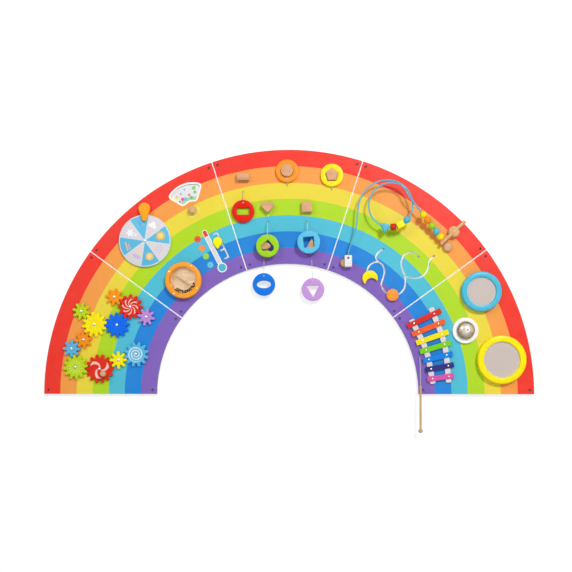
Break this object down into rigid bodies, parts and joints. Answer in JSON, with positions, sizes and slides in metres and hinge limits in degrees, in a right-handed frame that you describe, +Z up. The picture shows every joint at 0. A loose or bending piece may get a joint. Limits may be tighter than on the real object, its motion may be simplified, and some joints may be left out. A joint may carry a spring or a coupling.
{
  "type": "wall activity board",
  "caption": "Half-round wooden wall board in wedge panels with meshing gears, turning weather discs, shape discs on cords, a bead wire, sliding markers, tuned bars, a bell and drums.",
  "frame": {"origin": "on the back face of the middle panel, half way between the two arches, straight above the arch centre", "axes": "+X along the base line to the viewer's right, +Y into the wall, +Z up; the play side faces -Y"},
  "size_m": [1.95, 0.0701, 1.1249],
  "materials": {
    "bar_blue": "gloss enamel",
    "bar_lime": "gloss enamel",
    "bar_navy": "gloss enamel",
    "bar_orange": "gloss enamel",
    "bar_pink": "gloss enamel",
    "bar_red": "gloss enamel",
    "bar_yellow": "gloss enamel",
    "bare_wood": "clear lacquer",
    "bell_metal": "polished",
    "blue_paint": "satin paint",
    "clear_cover": "clear",
    "drum_skin": "matt film",
    "lilac_paint": "satin paint",
    "lime_paint": "satin paint",
    "orange_paint": "satin paint",
    "red_paint": "satin paint",
    "sky_paint": "satin paint",
    "white_board": "white laminate with printed front",
    "white_plastic": "gloss",
    "wire_coat": "smooth coated wire",
    "yellow_paint": "satin paint"
  },
  "bodies": {
    "board": {"panel_gears": "white_board", "panel_weather": "white_board", "weather_pointer": "orange_paint", "panel_shapes": "white_board", "panel_beads": "white_board", "bead_wire": "wire_coat", "wire_socket": "white_plastic", "bead_stop": "bare_wood", "panel_music": "white_board", "bar_pink": "bar_pink", "bar_navy": "bar_navy", "bar_blue": "bar_blue", "bar_lime": "bar_lime", "bar_yellow": "bar_yellow", "bar_orange": "bar_orange", "bar_red": "bar_red", "bell_base": "white_plastic", "bell_dome": "bell_metal", "drum_blue_hoop": "sky_paint", "drum_blue_head": "drum_skin", "drum_yellow_hoop": "yellow_paint", "drum_yellow_head": "drum_skin"},
    "gear_red_crank": {"gear_red_crank": "red_paint", "crank_knob": "bare_wood"},
    "gear_lime_dotted": {"gear_lime_dotted": "lime_paint"},
    "gear_sky_small": {"gear_sky_small": "sky_paint"},
    "gear_orange_lower": {"gear_orange_lower": "orange_paint"},
    "gear_yellow_dotted": {"gear_yellow_dotted": "yellow_paint"},
    "gear_lime_small": {"gear_lime_small": "lime_paint"},
    "gear_blue": {"gear_blue": "blue_paint"},
    "gear_red_swirl": {"gear_red_swirl": "red_paint"},
    "gear_orange_upper": {"gear_orange_upper": "orange_paint"},
    "gear_lilac": {"gear_lilac": "lilac_paint"},
    "gear_yellow_small": {"gear_yellow_small": "yellow_paint"},
    "gear_sky_spiral": {"gear_sky_spiral": "sky_paint"},
    "weather_wheel": {"weather_wheel": "sky_paint"},
    "season_disc": {"season_disc": "bare_wood"},
    "rain_wheel": {"rain_wheel": "orange_paint", "rain_cover": "clear_cover"},
    "temperature_marker": {"temperature_marker": "yellow_paint"},
    "disc_red": {"disc_red": "red_paint"},
    "disc_green": {"disc_green": "lime_paint"},
    "disc_teal": {"disc_teal": "sky_paint"},
    "disc_blue": {"disc_blue": "blue_paint"},
    "disc_lilac": {"disc_lilac": "lilac_paint"},
    "disc_orange": {"disc_orange": "orange_paint"},
    "disc_yellow": {"disc_yellow": "yellow_paint"},
    "bead_heart": {"bead_heart": "sky_paint"},
    "bead_drum_red": {"bead_drum_red": "red_paint"},
    "bead_ball_blue": {"bead_ball_blue": "sky_paint"},
    "bead_block_yellow": {"bead_block_yellow": "yellow_paint"},
    "stack_bead_1": {"stack_bead_1": "yellow_paint"},
    "stack_bead_2": {"stack_bead_2": "orange_paint"},
    "stack_bead_3": {"stack_bead_3": "lime_paint"},
    "stack_bead_4": {"stack_bead_4": "sky_paint"},
    "stack_bead_5": {"stack_bead_5": "yellow_paint"},
    "sun_slider": {"sun_slider": "orange_paint"},
    "moon_slider": {"moon_slider": "yellow_paint"},
    "bell_button": {"bell_button": "white_plastic"},
    "mallet": {"mallet": "bare_wood"}
  },
  "joints": [
    {"name": "gear_red_crank_turn", "type": "hinge", "parent": "board", "child": "gear_red_crank", "pos_m": [-0.74801, -0.021, -0.64504], "axis": [0, -1, 0], "continuous": true},
    {"name": "gear_lime_dotted_turn", "type": "hinge", "parent": "board", "child": "gear_lime_dotted", "pos_m": [-0.84528, -0.021, -0.63823], "axis": [0, -1, 0], "continuous": true},
    {"name": "gear_sky_small_turn", "type": "hinge", "parent": "board", "child": "gear_sky_small", "pos_m": [-0.86087, -0.021, -0.56487], "axis": [0, -1, 0], "continuous": true},
    {"name": "gear_orange_lower_turn", "type": "hinge", "parent": "board", "child": "gear_orange_lower", "pos_m": [-0.81295, -0.021, -0.52876], "axis": [0, -1, 0], "continuous": true},
    {"name": "gear_yellow_dotted_turn", "type": "hinge", "parent": "board", "child": "gear_yellow_dotted", "pos_m": [-0.76887, -0.021, -0.46809], "axis": [0, -1, 0], "continuous": true},
    {"name": "gear_lime_small_turn", "type": "hinge", "parent": "board", "child": "gear_lime_small", "pos_m": [-0.82236, -0.021, -0.41552], "axis": [0, -1, 0], "continuous": true},
    {"name": "gear_blue_turn", "type": "hinge", "parent": "board", "child": "gear_blue", "pos_m": [-0.6789, -0.021, -0.47044], "axis": [0, -1, 0], "continuous": true},
    {"name": "gear_red_swirl_turn", "type": "hinge", "parent": "board", "child": "gear_red_swirl", "pos_m": [-0.62536, -0.021, -0.3981], "axis": [0, -1, 0], "continuous": true},
    {"name": "gear_orange_upper_turn", "type": "hinge", "parent": "board", "child": "gear_orange_upper", "pos_m": [-0.68931, -0.021, -0.35891], "axis": [0, -1, 0], "continuous": true},
    {"name": "gear_lilac_turn", "type": "hinge", "parent": "board", "child": "gear_lilac", "pos_m": [-0.56211, -0.021, -0.43839], "axis": [0, -1, 0], "continuous": true},
    {"name": "gear_yellow_small_turn", "type": "hinge", "parent": "board", "child": "gear_yellow_small", "pos_m": [-0.67324, -0.021, -0.61017], "axis": [0, -1, 0], "continuous": true},
    {"name": "gear_sky_spiral_turn", "type": "hinge", "parent": "board", "child": "gear_sky_spiral", "pos_m": [-0.60191, -0.021, -0.58699], "axis": [0, -1, 0], "continuous": true},
    {"name": "weather_wheel_turn", "type": "hinge", "parent": "board", "child": "weather_wheel", "pos_m": [-0.56733, -0.021, -0.13484], "axis": [0, -1, 0], "continuous": true},
    {"name": "season_disc_turn", "type": "hinge", "parent": "board", "child": "season_disc", "pos_m": [-0.37756, -0.015, -0.01284], "axis": [0, -1, 0], "continuous": true},
    {"name": "rain_wheel_turn", "type": "hinge", "parent": "board", "child": "rain_wheel", "pos_m": [-0.41176, -0.028, -0.29339], "axis": [0, -1, 0], "continuous": true},
    {"name": "temperature_marker_slide", "type": "slide", "parent": "board", "child": "temperature_marker", "axis": [0.4226, 0, -0.9063], "range_m": [-0.0356, 0.0712]},
    {"name": "disc_red_turn", "type": "hinge", "parent": "board", "child": "disc_red", "pos_m": [-0.17509, -0.015, 0.06195], "axis": [0, -1, 0], "range_deg": [-25, 15]},
    {"name": "disc_green_turn", "type": "hinge", "parent": "board", "child": "disc_green", "pos_m": [-0.07684, -0.015, -0.05896], "axis": [0, -1, 0], "range_deg": [-20, 20]},
    {"name": "disc_teal_turn", "type": "hinge", "parent": "board", "child": "disc_teal", "pos_m": [0.07813, -0.015, -0.0591], "axis": [0, -1, 0], "range_deg": [-25, 15]},
    {"name": "disc_blue_turn", "type": "hinge", "parent": "board", "child": "disc_blue", "pos_m": [-0.09229, -0.015, -0.21318], "axis": [0, -1, 0], "range_deg": [-25, 25]},
    {"name": "disc_lilac_turn", "type": "hinge", "parent": "board", "child": "disc_lilac", "pos_m": [0.09742, -0.015, -0.21401], "axis": [0, -1, 0], "range_deg": [-27.5, 22.5]},
    {"name": "disc_orange_slide", "type": "slide", "parent": "board", "child": "disc_orange", "axis": [0, -1, 0], "range_m": [0, 0.03]},
    {"name": "disc_yellow_slide", "type": "slide", "parent": "board", "child": "disc_yellow", "axis": [0, -1, 0], "range_m": [0, 0.03]},
    {"name": "bead_heart_turn", "type": "hinge", "parent": "board", "child": "bead_heart", "pos_m": [0.40675, -0.055, -0.00456], "axis": [0, -1, 0], "range_deg": [-40, 0]},
    {"name": "bead_drum_red_turn", "type": "hinge", "parent": "board", "child": "bead_drum_red", "pos_m": [0.40675, -0.055, -0.00456], "axis": [0, -1, 0], "range_deg": [-20, 0]},
    {"name": "bead_ball_blue_turn", "type": "hinge", "parent": "board", "child": "bead_ball_blue", "pos_m": [0.40675, -0.055, -0.00456], "axis": [0, -1, 0], "range_deg": [0, 22.5]},
    {"name": "bead_block_yellow_turn", "type": "hinge", "parent": "board", "child": "bead_block_yellow", "pos_m": [0.40675, -0.055, -0.00456], "axis": [0, -1, 0], "range_deg": [0, 11.25]},
    {"name": "stack_bead_1_slide", "type": "slide", "parent": "board", "child": "stack_bead_1", "axis": [-0.6268, -0.128, 0.7686], "range_m": [0, 0.036]},
    {"name": "stack_bead_2_slide", "type": "slide", "parent": "board", "child": "stack_bead_2", "axis": [-0.6268, -0.128, 0.7686], "range_m": [0, 0.0288]},
    {"name": "stack_bead_3_slide", "type": "slide", "parent": "board", "child": "stack_bead_3", "axis": [-0.6268, -0.128, 0.7686], "range_m": [0, 0.0216]},
    {"name": "stack_bead_4_slide", "type": "slide", "parent": "board", "child": "stack_bead_4", "axis": [-0.6268, -0.128, 0.7686], "range_m": [0, 0.0144]},
    {"name": "stack_bead_5_slide", "type": "slide", "parent": "board", "child": "stack_bead_5", "axis": [-0.6268, -0.128, 0.7686], "range_m": [0, 0.0072]},
    {"name": "sun_slider_turn", "type": "hinge", "parent": "board", "child": "sun_slider", "pos_m": [0.42155, -0.015, -0.30591], "axis": [0, -1, 0], "range_deg": [-45, 45]},
    {"name": "moon_slider_turn", "type": "hinge", "parent": "board", "child": "moon_slider", "pos_m": [0.35715, -0.015, -0.26081], "axis": [0, -1, 0], "range_deg": [-95, 0]},
    {"name": "bell_button_slide", "type": "slide", "parent": "board", "child": "bell_button", "axis": [0, 1, 0], "range_m": [0, 0.0035], "stiffness_N_per_m": 200, "springref_m": -0.002},
    {"name": "mallet_turn", "type": "hinge", "parent": "board", "child": "mallet", "pos_m": [0.52345, -0.015, -0.59938], "axis": [0, -1, 0], "range_deg": [-30, 30]}
  ],
  "couplings": [
    {"joint": "gear_lime_dotted_turn", "follows": "gear_red_crank_turn", "ratio": -1.1667},
    {"joint": "gear_sky_small_turn", "follows": "gear_red_crank_turn", "ratio": 1.75},
    {"joint": "gear_orange_lower_turn", "follows": "gear_red_crank_turn", "ratio": -1.75},
    {"joint": "gear_yellow_dotted_turn", "follows": "gear_red_crank_turn", "ratio": 1.1667},
    {"joint": "gear_lime_small_turn", "follows": "gear_red_crank_turn", "ratio": -1.75},
    {"joint": "gear_blue_turn", "follows": "gear_red_crank_turn", "ratio": -1.1667},
    {"joint": "gear_red_swirl_turn", "follows": "gear_red_crank_turn", "ratio": 1.1667},
    {"joint": "gear_orange_upper_turn", "follows": "gear_red_crank_turn", "ratio": -1.75},
    {"joint": "gear_lilac_turn", "follows": "gear_red_crank_turn", "ratio": -1.75},
    {"joint": "gear_yellow_small_turn", "follows": "gear_red_crank_turn", "ratio": -1.75},
    {"joint": "gear_sky_spiral_turn", "follows": "gear_red_crank_turn", "ratio": 1.1667},
    {"joint": "bead_drum_red_turn", "follows": "bead_heart_turn", "ratio": 0.5},
    {"joint": "bead_block_yellow_turn", "follows": "bead_ball_blue_turn", "ratio": 0.5},
    {"joint": "stack_bead_2_slide", "follows": "stack_bead_1_slide", "ratio": 0.8},
    {"joint": "stack_bead_3_slide", "follows": "stack_bead_1_slide", "ratio": 0.6},
    {"joint": "stack_bead_4_slide", "follows": "stack_bead_1_slide", "ratio": 0.4},
    {"joint": "stack_bead_5_slide", "follows": "stack_bead_1_slide", "ratio": 0.2}
  ]
}
